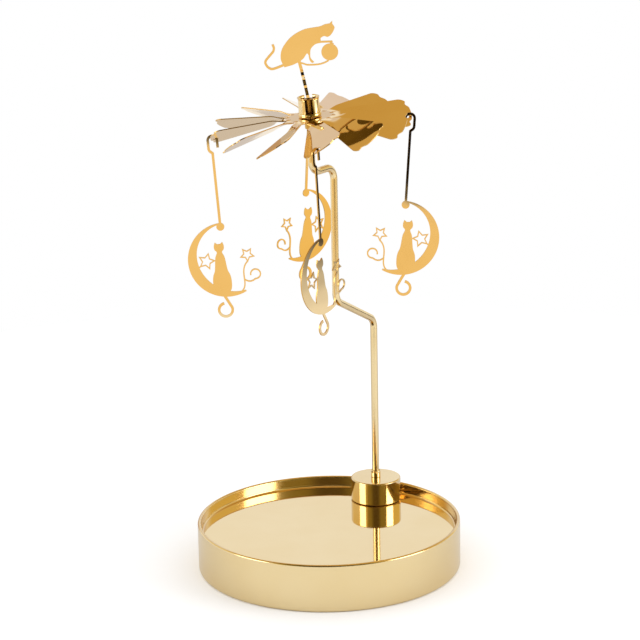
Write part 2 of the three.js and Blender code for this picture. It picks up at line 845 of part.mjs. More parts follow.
function hookPlace(hanger, heading) {
  const azimuth = vanePhase + (hanger.vane * 2 * Math.PI) / vaneCount;
  const up = new THREE.Vector3(0, 0, 1);
  const hole = onVane(vaneRadius - hookHoleInset, hookHoleOffset).applyAxisAngle(up, azimuth);
  const square = up.clone()
    .applyEuler(new THREE.Euler(vaneTwist, 0, 0))
    .applyEuler(new THREE.Euler(0, vaneDroop, 0))
    .applyAxisAngle(up, azimuth)
    .applyQuaternion(rotor.quaternion);
  const place = rotor.localToWorld(hole);
  const outward = new THREE.Vector2(-Math.cos(heading), -Math.sin(heading));
  const slope = -(square.x * outward.x + square.y * outward.y) / square.z;
  const reach = (hookOpening + wireWidth) / 2 - hookShift;
  const highest = Math.max(slope * reach, (slope * hookHole) / 2);
  return new THREE.Vector3(
    place.x + outward.x * reach,
    place.y + outward.y * reach,
    place.z + vaneSheet / 2 / square.z + highest + hookGap,
  );
}

hangers.forEach((hanger) => {
  const azimuth = vanePhase + (hanger.vane * 2 * Math.PI) / vaneCount;
  const heading = azimuth + Math.PI + hanger.turn;
  const mesh = addPiece(carousel, `pendant_${hanger.side}`, pendant.clone(), deepGold);
  mesh.rotation.z = heading;
  mesh.position.copy(hookPlace(hanger, heading));
});

export default carousel;
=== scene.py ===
import json
import math

import bpy
from mathutils import Matrix, Vector


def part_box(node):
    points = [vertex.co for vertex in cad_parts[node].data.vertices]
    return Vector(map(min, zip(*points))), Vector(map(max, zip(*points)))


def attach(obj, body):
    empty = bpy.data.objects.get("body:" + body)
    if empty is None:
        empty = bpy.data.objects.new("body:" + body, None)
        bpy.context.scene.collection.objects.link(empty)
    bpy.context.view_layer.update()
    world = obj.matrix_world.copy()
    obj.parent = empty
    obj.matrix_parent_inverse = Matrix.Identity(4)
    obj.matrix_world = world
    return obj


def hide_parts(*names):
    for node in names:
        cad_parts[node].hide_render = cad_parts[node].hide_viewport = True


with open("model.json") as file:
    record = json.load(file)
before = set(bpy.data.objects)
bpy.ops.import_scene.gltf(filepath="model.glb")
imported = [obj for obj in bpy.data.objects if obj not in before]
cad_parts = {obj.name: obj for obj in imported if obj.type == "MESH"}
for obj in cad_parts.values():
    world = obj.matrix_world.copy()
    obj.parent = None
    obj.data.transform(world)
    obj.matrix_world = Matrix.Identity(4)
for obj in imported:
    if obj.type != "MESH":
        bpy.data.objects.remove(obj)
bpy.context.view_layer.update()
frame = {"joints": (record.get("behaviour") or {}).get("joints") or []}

mm = 0.001  # pieces are modelled in millimetres and brought to metres when they are placed
print("frame loaded")


# an sRGB hex colour as linear red, green, blue and alpha
def toLinear(hexColour):
    parts = [int(hexColour[i:i + 2], 16) / 255 for i in (0, 2, 4)]
    return [p / 12.92 if p <= 0.04045 else ((p + 0.055) / 1.055) ** 2.4 for p in parts] + [1.0]


# adds a node; an input is given a value, or another node's socket that feeds it
def addNode(tree, kind, settings=None, inputs=None):
    node = tree.nodes.new(kind)
    for key, value in (settings or {}).items():
        setattr(node, key, value)
    for key, value in (inputs or {}).items():
        if isinstance(value, bpy.types.NodeSocket):
            tree.links.new(value, node.inputs[key])
        else:
            node.inputs[key].default_value = value
    return node


def deselectAll():
    if bpy.context.object and bpy.context.object.mode != "OBJECT":
        bpy.ops.object.mode_set(mode="OBJECT")
    bpy.ops.object.select_all(action="DESELECT")


def pick(*pieces):
    deselectAll()
    for piece in pieces:
        piece.select_set(True)
    bpy.context.view_layer.objects.active = pieces[0]


def editAll(piece):
    pick(piece)
    bpy.ops.object.mode_set(mode="EDIT")
    bpy.ops.mesh.select_mode(type="VERT")
    bpy.ops.mesh.select_all(action="SELECT")


# selects the corners, edges or faces of a piece that pass a test, and leaves it in edit mode
def editWhere(piece, kind, test):
    editAll(piece)
    bpy.ops.mesh.select_mode(type=kind)
    bpy.ops.mesh.select_all(action="DESELECT")
    bpy.ops.object.mode_set(mode="OBJECT")
    parts = {"VERT": piece.data.vertices, "EDGE": piece.data.edges, "FACE": piece.data.polygons}[kind]
    for part in parts:
        part.select = test(part)
    bpy.ops.object.mode_set(mode="EDIT")


# camera at the photograph's angle: 15 degrees down, a long lens, leaning a little to one side
cameraPlan = {"place": (-1.95, -900, 348.3), "pitch": 15.33, "roll": -1.14, "lens": 134.11, "sensor": 36,
              "reach": 20000}


def makeCamera():
    pitch, roll = math.radians(cameraPlan["pitch"]), math.radians(cameraPlan["roll"])
    forward = Vector((0, math.cos(pitch), -math.sin(pitch)))
    level = Vector((1, 0, 0))
    above = level.cross(forward)
    right = math.cos(roll) * level + math.sin(roll) * above
    up = math.cos(roll) * above - math.sin(roll) * level
    data = bpy.data.cameras.new("studioCamera")
    data.sensor_width = cameraPlan["sensor"]
    data.lens = cameraPlan["lens"]
    data.clip_end = cameraPlan["reach"] * mm
    camera = bpy.data.objects.new("studioCamera", data)
    bpy.context.collection.objects.link(camera)
    turn = Matrix((right, up, -forward)).transposed().to_4x4()
    camera.matrix_world = Matrix.Translation(Vector(cameraPlan["place"]) * mm) @ turn
    bpy.context.scene.camera = camera


makeCamera()
print("camera placed")

# the world is white to the camera, and to the metal a white studio, whose parts are laid over each other
# in turn. Headings are in degrees from the front. A part fades in between the two numbers of its spread
# (degrees off its heading, and beyond them where they rise), foot and top (sines of the elevation)
studioWhite = "FFFFFF"
studioTilt = {"slope": 0.33, "reach": 0.3}  # all heights run down to the right, this far from the middle
studioParts = [
    {"name": "warmTable", "colour": "FFE3A8", "heading": 20, "spread": (112, 84), "top": (-0.198, -0.203)},
    {"name": "warmCard", "colour": "FFDC8C", "heading": 76, "spread": (20, 14), "top": (-0.085, -0.11)},
    {"name": "sunnyWall", "colour": "EFD884", "heading": 0, "spread": (148, 136), "foot": (0.2, 0.27),
     "top": (0.52, 0.44)},
    {"name": "amberCeiling", "colour": "D3AE62", "heading": 0, "spread": (200, 190), "foot": (0.42, 0.66)},
    {"name": "goldCurtain", "colour": "D8BC5C", "heading": 4, "spread": (62, 46), "foot": (-0.201, -0.197),
     "top": (0.97, 0.9)},
    {"name": "darkRoom", "colour": "1D1408", "heading": 4, "spread": (50, 20), "foot": (-0.201, -0.197),
     "top": (0.6, 0.5)},
    {"name": "roomGlow", "colour": "93833F", "heading": 4, "spread": (50, 42), "foot": (0.1, 0.27),
     "top": (0.6, 0.5)},
    {"name": "roomCorner", "colour": "5C4C22", "heading": -2, "spread": (26, 8), "foot": (0.1, 0.27),
     "top": (0.6, 0.5)},
    {"name": "farWall", "colour": "C39B70", "heading": -171, "spread": (26, 18), "foot": (-0.2, -0.12),
     "top": (0.16, 0.1)},
    {"name": "darkRafters", "colour": "32240F", "heading": -15, "spread": (70, 50), "foot": (0.5, 0.6),
     "top": (0.95, 0.88)},
    {"name": "doorPost", "colour": "3A2A12", "heading": 110, "spread": (11, 8), "foot": (-0.165, -0.125),
     "top": (0.16, 0.06)},
    {"name": "tableCorner", "colour": "FFE3A8", "heading": 40, "spread": (32, 22), "top": (-0.098, -0.103)},
    # the wall behind, which the tray's floor shows, and its corners, in the front and back right vanes
    {"name": "paleWall", "colour": "E2D9D4", "heading": 0, "spread": (150, 162), "foot": (0.15, 0.22),
     "top": (0.318, 0.28)},
    {"name": "leftBackWall", "colour": "E6DAD7", "heading": -157, "spread": (17, 10), "foot": (0.25, 0.3),
     "top": (0.55, 0.45)},
    {"name": "rightBackWall", "colour": "EAE1E6", "heading": 163, "spread": (13, 8), "foot": (0.25, 0.3),
     "top": (0.55, 0.45)},
]


def makeWorld():
    world = bpy.data.worlds.new("studioWorld")
    bpy.context.scene.world = world
    world.use_nodes = True
    tree = world.node_tree
    tree.nodes.clear()
    place = addNode(tree, "ShaderNodeTexCoord")
    axes = addNode(tree, "ShaderNodeSeparateXYZ", {}, {0: place.outputs["Generated"]})
    front = addNode(tree, "ShaderNodeMath", {"operation": "MULTIPLY"}, {0: axes.outputs["Y"], 1: -1.0})
    heading = addNode(tree, "ShaderNodeMath", {"operation": "ARCTAN2"},
                      {0: axes.outputs["X"], 1: front.outputs[0]})
    reach = studioTilt["reach"]
    rise = reach * studioTilt["slope"]
    lean = addNode(tree, "ShaderNodeMapRange", {},
                   {"Value": axes.outputs["X"], "From Min": -reach, "From Max": reach,
                    "To Min": -rise, "To Max": rise})
    height = addNode(tree, "ShaderNodeMath", {"operation": "ADD"},
                     {0: axes.outputs["Z"], 1: lean.outputs["Result"]})
    shown = white = toLinear(studioWhite)
    for part in studioParts:
        turned = addNode(tree, "ShaderNodeMath", {"operation": "SUBTRACT"},
                         {0: heading.outputs[0], 1: math.radians(part["heading"])})
        away = addNode(tree, "ShaderNodeMath", {"operation": "ABSOLUTE"}, {0: turned.outputs[0]})
        edges = [(away.outputs[0], [math.radians(angle) for angle in part["spread"]])]
        edges += [(height.outputs[0], part[edge]) for edge in ("foot", "top") if edge in part]
        mask = 1.0
        for value, (start, full) in edges:
            fade = addNode(tree, "ShaderNodeMapRange", {"interpolation_type": "SMOOTHSTEP"},
                           {"Value": value, "From Min": start, "From Max": full})
            mask = addNode(tree, "ShaderNodeMath", {"operation": "MULTIPLY"},
                           {0: fade.outputs["Result"], 1: mask}).outputs[0]
        shown = addNode(tree, "ShaderNodeMix", {"data_type": "RGBA"},
                        {"Factor": mask, 6: shown, 7: toLinear(part["colour"])}).outputs[2]
    path = addNode(tree, "ShaderNodeLightPath")
    whole = addNode(tree, "ShaderNodeMix", {"data_type": "RGBA"},
                    {"Factor": path.outputs["Is Glossy Ray"], 6: white, 7: shown})
    light = addNode(tree, "ShaderNodeBackground", {}, {"Color": whole.outputs[2], "Strength": 1.0})
    addNode(tree, "ShaderNodeOutputWorld", {}, {"Surface": light.outputs[0]})


makeWorld()

# two soft panels low at the sides, which the weight, the rod and the tray's inner wall show
lamps = [
    {"name": "leftPanel", "heading": -69, "reach": 700, "height": 250, "size": (400, 300), "power": 1.05},
    {"name": "rightPanel", "heading": 69, "reach": 650, "height": 250, "size": (400, 260), "power": 1.4},
]
lampAim = 20  # both panels face a point this high over the tray's middle


def makeLamps():
    for plan in lamps:
        data = bpy.data.lights.new(plan["name"], "AREA")
        data.shape = "RECTANGLE"
        data.size, data.size_y = (side * mm for side in plan["size"])
        data.energy = plan["power"]
        lamp = bpy.data.objects.new(plan["name"], data)
        bpy.context.collection.objects.link(lamp)
        angle = math.radians(plan["heading"])
        across, ahead = math.sin(angle) * plan["reach"], -math.cos(angle) * plan["reach"]
        place = Vector((across, ahead, plan["height"])) * mm
        lamp.location = place
        lamp.rotation_euler = (Vector((0, 0, lampAim)) * mm - place).to_track_quat("-Z", "Y").to_euler()


makeLamps()

# painted shade: the paper's light falls off behind the object, as its mirror faces show, so the colour that
# mirror rays see is painted darker behind it
floorPlan = {"radius": 400, "height": -0.02, "sides": 96, "colour": "FFFFFF", "near": "F0F0ED",
             "far": "CFCBCC", "fade": (-60, 120)}


def makeFloor():
    deselectAll()
    bpy.ops.mesh.primitive_circle_add(vertices=floorPlan["sides"], radius=floorPlan["radius"] * mm,
                                      fill_type="NGON", location=(0, 0, floorPlan["height"] * mm))
    floor = bpy.context.object
    floor.name = "paleFloor"
    paper = bpy.data.materials.new("mattWhitePaper")
    paper.use_nodes = True
    tree = paper.node_tree
    tree.nodes.clear()
    place = addNode(tree, "ShaderNodeTexCoord")
    axes = addNode(tree, "ShaderNodeSeparateXYZ", {}, {0: place.outputs["Object"]})
    start, full = (edge * mm for edge in floorPlan["fade"])
    behind = addNode(tree, "ShaderNodeMapRange", {},
                     {"Value": axes.outputs["Y"], "From Min": start, "From Max": full})
    # painted shade: the near to far tone that only mirror rays see
    paintedMirrorShade = addNode(tree, "ShaderNodeMix", {"data_type": "RGBA"},
                       {"Factor": behind.outputs["Result"], 6: toLinear(floorPlan["near"]),
                        7: toLinear(floorPlan["far"])})
    path = addNode(tree, "ShaderNodeLightPath")
    tone = addNode(tree, "ShaderNodeMix", {"data_type": "RGBA"},
                   {"Factor": path.outputs["Is Glossy Ray"], 6: toLinear(floorPlan["colour"]),
                    7: paintedMirrorShade.outputs[2]})
    diffuse = addNode(tree, "ShaderNodeBsdfDiffuse", {}, {"Color": tone.outputs[2]})
    addNode(tree, "ShaderNodeOutputMaterial", {}, {"Surface": diffuse.outputs[0]})
    floor.data.materials.append(paper)


makeFloor()
print("studio ready")

# rough is the range of roughness. wave and swell are the width and height of the slow swells that pull
# a reflection out of true. rings and mark are those of the rings that spinning or turning leaves
goldPlate = {"colour": "EBD5A7", "dark": "E7CE9A", "rough": (0.03, 0.06), "wave": 11, "swell": 0.004,
             "rings": 1, "mark": 0}
goldFinishes = {
    # gold plate over nickel on polished brass: a clear pale mirror of the studio
    "mirrorGoldPlate": goldPlate,
    # the same plate over spun sheet: fine rings streak what the tray mirrors
    "spunGoldPlate": {**goldPlate, "rings": 0.5, "mark": 0.0022},
    # the same plate on the tray's upright walls, where the spinning tool ran coarser: soft bright patches
    "spunGoldWall": {**goldPlate, "rough": (0.12, 0.19), "rings": 0.5, "mark": 0.004},
    # the same plate over a turned bar: softer edges between light and dark
    "turnedGoldPlate": {**goldPlate, "rough": (0.08, 0.13), "rings": 0.5, "mark": 0.0022},
    # the same plate over drawn wire, whose dull skin blurs the studio to one soft glow
    "drawnGoldWire": {**goldPlate, "rough": (0.15, 0.22), "wave": 6},
    # photo-etched brass sheet, gilded: warmer, and slightly wavy as thin sheet is
    "gildedSheet": {"colour": "F2D8A8", "dark": "EACB92", "rough": (0.02, 0.05), "wave": 14, "swell": 0.05,
                    "rings": 1, "mark": 0},
    # the sheet's edge as the etching bath leaves it: matt, and its colour painted darker than its faces, a
    # painted shade for the dark outline that the edge shows
    "etchedEdgePaintedShade": {"colour": "DDB872", "dark": "B4853C", "rough": (0.25, 0.4), "wave": 0.5, "swell": 0.01,
                   "rings": 1, "mark": 0},
    # bare brass off the lathe: deeper yellow with tool marks
    "turnedBrass": {"colour": "D9B060", "dark": "B98A3C", "rough": (0.16, 0.3), "wave": 3, "swell": 0.004,
                    "rings": 0.25, "mark": 0.004},
    # nickel-plated magnet and ground needle: grey with fine grinding rings
    "groundSteel": {"colour": "C8C8C4", "dark": "A6A6A2", "rough": (0.2, 0.34), "wave": 2, "swell": 0.004,
                    "rings": 0.2, "mark": 0.004},
}
# tarnish and handling shade a gold surface in soft patches: their width, the noise values over which
# the dark tone comes in, how much of it there is at most, and those over which the roughness rises
clouds = {"width": 22, "shade": (0.35, 0.75), "most": 0.6, "rough": (0.3, 0.7)}
ringStretch = 0.03  # rings run round a piece, so they change slowly along X and Y


def makeMetal(name):
    plan = goldFinishes[name]
    metal = bpy.data.materials.new(name)
    metal.use_nodes = True
    tree = metal.node_tree
    tree.nodes.clear()
    place = addNode(tree, "ShaderNodeTexCoord").outputs["Object"]
    cloud = addNode(tree, "ShaderNodeTexNoise", {},
                    {"Vector": place, "Scale": 1 / (clouds["width"] * mm), "Detail": 3.0, "Roughness": 0.5})
    wave = addNode(tree, "ShaderNodeTexNoise", {},
                   {"Vector": place, "Scale": 1 / (plan["wave"] * mm), "Detail": 1.0})
    stretch = addNode(tree, "ShaderNodeMapping", {},
                      {"Vector": place, "Scale": (ringStretch, ringStretch, 1)})
    rings = addNode(tree, "ShaderNodeTexNoise", {},
                    {"Vector": stretch.outputs["Vector"], "Scale": 1 / (plan["rings"] * mm), "Detail": 2.0})
    shade = addNode(tree, "ShaderNodeMapRange", {},
                    {"Value": cloud.outputs["Fac"], "From Min": clouds["shade"][0],
                     "From Max": clouds["shade"][1], "To Max": clouds["most"]})
    tint = addNode(tree, "ShaderNodeMix", {"data_type": "RGBA"},
                   {"Factor": shade.outputs["Result"], 6: toLinear(plan["colour"]),
                    7: toLinear(plan["dark"])})
    rough = addNode(tree, "ShaderNodeMapRange", {},
                    {"Value": cloud.outputs["Fac"], "From Min": clouds["rough"][0],
                     "From Max": clouds["rough"][1], "To Min": plan["rough"][0], "To Max": plan["rough"][1]})
    marks = addNode(tree, "ShaderNodeBump", {},
                    {"Height": rings.outputs["Fac"], "Strength": 1.0, "Distance": plan["mark"] * mm})
    bump = addNode(tree, "ShaderNodeBump", {},
                   {"Height": wave.outputs["Fac"], "Normal": marks.outputs["Normal"], "Strength": 1.0,
                    "Distance": plan["swell"] * mm})
    shader = addNode(tree, "ShaderNodeBsdfPrincipled", {},
                     {"Base Color": tint.outputs[2], "Metallic": 1.0, "Roughness": rough.outputs["Result"],
                      "Normal": bump.outputs["Normal"]})
    addNode(tree, "ShaderNodeOutputMaterial", {}, {"Surface": shader.outputs[0]})
    return metal


metals = {name: makeMetal(name) for name in goldFinishes}
print("metals made")

weldGap = 0.002
fineWeldGap = 0.001  # flat sheets have short edges
touch = 0.01  # places nearer to each other than this are one place
flatRise = 0.9  # a face counts as flat where its normal rises or falls more than this
bevelAngle = 60  # edges that turn by more degrees than this are rounded
edgeLight = {"angle": 35, "weight": 60}  # the bend that breaks shading, and how far large faces lead it


# merges loose corners and turns every face outwards
def weld(piece, distance=weldGap):
    editAll(piece)
    bpy.ops.mesh.remove_doubles(threshold=distance)
    bpy.ops.mesh.normals_make_consistent(inside=False)
    bpy.ops.object.mode_set(mode="OBJECT")


def modify(piece, kind, settings):
    pick(piece)
    bpy.ops.object.modifier_add(type=kind)
    modifier = piece.modifiers[-1]
    for key, value in settings.items():
        setattr(modifier, key, value)
    bpy.ops.object.modifier_apply(modifier=modifier.name)


# rounds the sharp edges of a form
def softenEdges(piece, width, segments):
    modify(piece, "BEVEL", {"width": width, "segments": segments, "limit_method": "ANGLE",
                            "angle_limit": math.radians(bevelAngle)})


def cutBy(piece, cutter, operation="DIFFERENCE"):
    modify(piece, "BOOLEAN", {"operation": operation, "solver": "EXACT", "object": cutter})
    bpy.data.objects.remove(cutter, do_unlink=True)


def copyOf(piece, name):
    twin = piece.copy()
    twin.data = piece.data.copy()
    twin.name = name
    bpy.context.collection.objects.link(twin)
    return twin


# a line drawn by extruding one corner from place to place, as (reach, height)
def drawLine(name, places):
    deselectAll()
    bpy.ops.mesh.primitive_plane_add(size=1, location=(0, 0, 0))
    piece = bpy.context.object
    piece.name = name
    editAll(piece)
    bpy.ops.mesh.merge(type="CENTER")
    corners = [Vector((reach, 0, height)) for reach, height in places]
    bpy.ops.transform.translate(value=corners[0])
    for before, after in zip(corners, corners[1:]):
        bpy.ops.mesh.extrude_region_move(TRANSFORM_OT_translate={"value": after - before})
    bpy.ops.object.mode_set(mode="OBJECT")
    return piece


# rounds the corner of a drawn line at a place
def roundCorner(piece, place, offset, segments):
    spot = Vector((place[0], 0, place[1]))
    editWhere(piece, "VERT", lambda corner: (corner.co - spot).length < touch)
    bpy.ops.mesh.bevel(offset=offset, offset_type="OFFSET", segments=segments, affect="VERTICES")
    bpy.ops.object.mode_set(mode="OBJECT")


# turns a drawn outline round the upright axis, as on a lathe
def spinLine(piece, steps):
    editAll(piece)
    bpy.ops.mesh.spin(steps=steps, angle=math.tau, center=(0, 0, 0), axis=(0, 0, 1))
    bpy.ops.object.mode_set(mode="OBJECT")
    weld(piece)
    return piece


# turns a piece from places; rounds lists the corners to round, as (which place, offset, segments).
# A ring's outline is closed, and any other runs from the axis back to it
def turnedPiece(name, places, rounds, steps):
    piece = drawLine(name, places + places[:1] if places[0][0] else places)
    weld(piece)
    for index, offset, segments in rounds:
        roundCorner(piece, places[index], offset, segments)
    return spinLine(piece, steps)


def addPeg(radius, low, high, sides, place=(0, 0)):
    deselectAll()
    bpy.ops.mesh.primitive_cylinder_add(vertices=sides, radius=radius, depth=high - low,
                                        location=(place[0], place[1], (low + high) / 2))
    return bpy.context.object


def addBlock(size, place):
    deselectAll()
    bpy.ops.mesh.primitive_cube_add(size=1, location=place, scale=size)
    return bpy.context.object


# finishes a piece: its place in its mesh, soft edge light, its metal, its body and the node that it stands
# for
def seat(piece, node, body, metal, turn=Matrix()):
    pick(piece)
    piece.matrix_world = Matrix.Scale(mm, 4) @ turn @ piece.matrix_world
    bpy.ops.object.transform_apply(location=True, rotation=True, scale=True)
    bpy.ops.object.shade_smooth_by_angle(angle=math.radians(edgeLight["angle"]))
    modify(piece, "WEIGHTED_NORMAL", {"keep_sharp": True, "weight": edgeLight["weight"]})
    if not piece.data.materials:
        piece.data.materials.append(metals[metal])
    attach(piece, body)
    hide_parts(node)


# tray pressed from one sheet: skirt, rolled rim, sunk candle floor and turned-in foot
tray = {
    "sheet": 0.75,
    "floorDepth": 4.5,
    "footWidth": 4,
    "footRound": 1.4,
    "cove": 0.9,
    "rimShare": 0.98,  # the rim's rounding, as a share of the sheet: nearly a half round
    "roundSteps": 8,
    "steps": 240,
}


def makeTray():
    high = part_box("tray_pan")[1] / mm
    radius, top = high.x, high.z
    floor = top - tray["floorDepth"]
    inner = radius - tray["sheet"]
    wall = radius - 2 * tray["sheet"]
    foot = radius - tray["footWidth"]
    places = [(0, floor - tray["sheet"]), (inner, floor - tray["sheet"]), (inner, tray["sheet"]),
              (foot, tray["sheet"]), (foot, 0), (radius, 0), (radius, top), (wall, top), (wall, floor),
              (0, floor)]
    rim, steps = tray["sheet"] * tray["rimShare"], tray["roundSteps"]
    rounds = [(2, tray["footRound"] - tray["sheet"], 5), (5, tray["footRound"], steps), (6, rim, steps),
              (7, rim, steps), (8, tray["cove"], 7)]
    piece = turnedPiece("goldTray", places, rounds, tray["steps"])
    for name in ("spunGoldPlate", "spunGoldWall"):
        piece.data.materials.append(metals[name])
    for face in piece.data.polygons:
        face.material_index = 0 if abs(face.normal.z) > flatRise else 1
    seat(piece, "tray_pan", "tray", "spunGoldPlate")


makeTray()
print("tray made")

# stem weight: a turned cylinder, bored for the rod above and the magnet below
weight = {"edge": 0.5, "rodHole": 1.6, "holeEdge": 0.15, "rodDepth": 5, "pocket": 6.3, "pocketHeight": 3.1,
          "steps": 160}


# the weight's middle, and the heights of its foot and top
def weightAxis():
    low, high = (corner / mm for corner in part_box("stem_weight"))
    return (low + high) / 2, low.z, high.z


def makeWeight():
    middle, base, top = weightAxis()
    radius = (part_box("stem_weight")[1].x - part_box("stem_weight")[0].x) / 2 / mm
    height = top - base
    places = [(0, weight["pocketHeight"]), (weight["pocket"], weight["pocketHeight"]), (weight["pocket"], 0),
              (radius, 0), (radius, height), (weight["rodHole"], height),
              (weight["rodHole"], height - weight["rodDepth"]), (0, height - weight["rodDepth"])]
    rounds = [(3, weight["edge"], 4), (4, weight["edge"], 4), (5, weight["holeEdge"], 2)]
    piece = turnedPiece("stemWeight", places, rounds, weight["steps"])
    seat(piece, "stem_weight", "stem", "turnedGoldPlate",
         Matrix.Translation((middle.x, middle.y, base)))


makeWeight()

magnet = {"sides": 64, "edge": 0.3, "edgeSteps": 3}


def makeMagnet():
    low, high = (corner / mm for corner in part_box("stem_magnet"))
    middle = (low + high) / 2
    piece = addPeg((high.x - low.x) / 2, low.z, high.z, magnet["sides"], (middle.x, middle.y))
    piece.name = "weightMagnet"
    softenEdges(piece, magnet["edge"], magnet["edgeSteps"])
    seat(piece, "stem_magnet", "stem", "groundSteel")


makeMagnet()

# thin collar round the rod, rounded over most of its wall
ferrule = {"inner": 1.6, "wall": 0.35, "roundShare": 0.8, "steps": 72}


def makeFerrule():
    low, high = (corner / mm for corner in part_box("stem_ferrule"))
    middle = (low + high) / 2
    outer = ferrule["inner"] + ferrule["wall"]
    height = high.z - low.z
    places = [(ferrule["inner"], 0), (outer, 0), (outer, height), (ferrule["inner"], height)]
    rounds = [(2, ferrule["wall"] * ferrule["roundShare"], 4)]
    piece = turnedPiece("stemFerrule", places, rounds, ferrule["steps"])
    seat(piece, "stem_ferrule", "stem", "mirrorGoldPlate",
         Matrix.Translation((middle.x, middle.y, low.z)))


makeFerrule()

# stem rod: one wire, bent in one upright plane, with a tapered end that holds the needle
rod = {
    "radius": 1.45,
    "bend": 5,
    "shoulder": 92,
    "knee": 106,
    "crank": 160.3,
    "crankReach": 15.2,
    "taperBase": 172.3,
    "taperLength": 3,
    "bore": 0.6,
    "boreDepth": 3,
    "wall": 0.35,
    "bendSteps": 12,
    "roundness": 14,
}


def jointOf(name):
    return next(joint for joint in frame["joints"] if joint["name"] == name)


# the point that the rotor turns about
def spinAxis():
    return Vector(jointOf("rotor_spin")["pos_m"]) / mm


def makeRod():
    middle = weightAxis()[0]
    axis = spinAxis()
    across = Vector((axis.x - middle.x, axis.y - middle.y, 0))
    reach = across.length
    knee = reach - rod["crankReach"]
    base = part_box("stem_rod")[0].z / mm
    places = [(0, base), (0, rod["shoulder"]), (knee, rod["knee"]), (knee, rod["crank"]),
              (reach, rod["crank"]), (reach, rod["taperBase"])]
    piece = drawLine("stemRod", places)
    slant = math.atan2(knee, rod["knee"] - rod["shoulder"])
    for place in places[1:3]:
        roundCorner(piece, place, rod["bend"] * math.tan(slant / 2), rod["bendSteps"])
    for place in places[3:5]:
        roundCorner(piece, place, rod["bend"], rod["bendSteps"])
    pick(piece)
    bpy.ops.object.convert(target="CURVE")
    wire = piece.data
    wire.bevel_depth = rod["radius"]
    wire.bevel_resolution = rod["roundness"]
    wire.use_fill_caps = True
    bpy.ops.object.convert(target="MESH")
    piece = bpy.context.object
    weld(piece)
    # the tapered end and its bore
    taperBase = rod["taperBase"] - touch
    editWhere(piece, "FACE", lambda face: face.center.z > taperBase and face.normal.z > flatRise)
    bpy.ops.mesh.extrude_region_move(TRANSFORM_OT_translate={"value": (0, 0, rod["taperLength"])})
    share = (rod["bore"] + rod["wall"]) / rod["radius"]
    tip = (reach, 0, rod["taperBase"] + rod["taperLength"])
    bpy.ops.transform.resize(value=(share, share, 1), center_override=tip)
    bpy.ops.mesh.inset(thickness=rod["wall"])
    bpy.ops.mesh.extrude_region_move(TRANSFORM_OT_translate={"value": (0, 0, -rod["boreDepth"])})
    bpy.ops.object.mode_set(mode="OBJECT")
    heading = math.atan2(across.y, across.x)
    turn = Matrix.Translation((middle.x, middle.y, 0)) @ Matrix.Rotation(heading, 4, "Z")
    seat(piece, "stem_rod", "stem", "drawnGoldWire", turn)


makeRod()

# ground steel point that carries the rotor
needle = {"radius": 0.45, "tip": 0.1, "pointLength": 1.35, "shoulder": 0.2, "steps": 40}


def makeNeedle():
    low, high = (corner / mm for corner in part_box("pivot_needle"))
    middle = (low + high) / 2
    places = [(0, low.z), (needle["radius"], low.z), (needle["radius"], high.z - needle["pointLength"]),
              (needle["tip"], high.z), (0, high.z)]
    piece = turnedPiece("pivotNeedle", places, [(2, needle["shoulder"], 3)], needle["steps"])
    seat(piece, "pivot_needle", "stem", "groundSteel", Matrix.Translation((middle.x, middle.y, 0)))


makeNeedle()
print("stem made")

# rotor: twelve vanes cut and twisted from one round sheet
rotor = {
    "pitch": 2.7,
    "roll": -4.6,
    "phase": 6.4,
    "vanes": 12,
    "sheet": 0.4,
    "rise": 2.2,
    "hub": 8.7,
    "radius": 38.9,
    "edgeRadius": 20,
    "twist": 28,
    "droop": 6.5,
    "twistLength": 7,
    "root": 4.1,
    "tip": 17.8,
    "corner": 2.4,
    "scallop": 2.1,
    "scallopDepth": 0.85,
    "scallopOffset": 5.2,
    "relief": 0.85,
    "reliefReach": 8.85,
    "hubHole": 1,
    "hookHole": 1.15,
    "hookOffset": -2,
    "hookInset": 2.3,
    "holed": (0, 3, 6, 9),
    "rootInset": 0.3,
    "outlineSteps": 60,
    "pegSides": 40,
    "drill": 1,  # pegs reach this far to both sides of the sheet
    "grid": (46, 21),  # an odd number across keeps points off a vane's middle line
    "slack": 0.02,  # how far a slit's face may be out of its true place or direction
    "joinGap": 0.005,
}


# the rotor's place, leaning as it balances on the needle
def rotorTurn():
    pitch = Matrix.Rotation(math.radians(rotor["pitch"]), 4, "X")
    roll = Matrix.Rotation(math.radians(rotor["roll"]), 4, "Y")
    return Matrix.Translation(spinAxis()) @ (pitch @ roll)


# the vane's outer edge: a bulge with rounded corners and two scallops
def vaneReach(across):
    past = max(abs(across) - (rotor["tip"] / 2 - rotor["corner"]), 0) / rotor["corner"]
    bulge = math.sqrt(rotor["edgeRadius"] ** 2 - across ** 2)
    dip = min(abs(abs(across) - rotor["scallopOffset"]) / rotor["scallop"], 1)
    wave = rotor["scallopDepth"] * (1 + math.cos(math.pi * dip)) / 2
    rounding = rotor["corner"] * (1 - math.sqrt(max(1 - past ** 2, 0)))
    return rotor["radius"] - rotor["edgeRadius"] + bulge - rounding - wave


def vaneHalfWidth(radius):
    share = (radius - rotor["hub"]) / (rotor["radius"] - rotor["hub"])
    return (rotor["root"] + (rotor["tip"] - rotor["root"]) * share) / 2


def vaneTwist(radius):
    share = min(max((radius - rotor["hub"]) / rotor["twistLength"], 0), 1)
    return math.radians(rotor["twist"]) * share * share * (3 - 2 * share)


# where a point of the flat sheet goes when its vane, which lies along X, is twisted and bent down. The
# points are moved in code, because the whole twist is in the vane's root and eases in and out there
def bent(flat):
    twist = vaneTwist(flat.x)
    past = max(flat.x - rotor["hub"], 0)
    return Vector((
        flat.x,
        flat.y * math.cos(twist) - flat.z * math.sin(twist),
        flat.z * math.cos(twist) + flat.y * math.sin(twist) - past * math.tan(math.radians(rotor["droop"])),
    ))


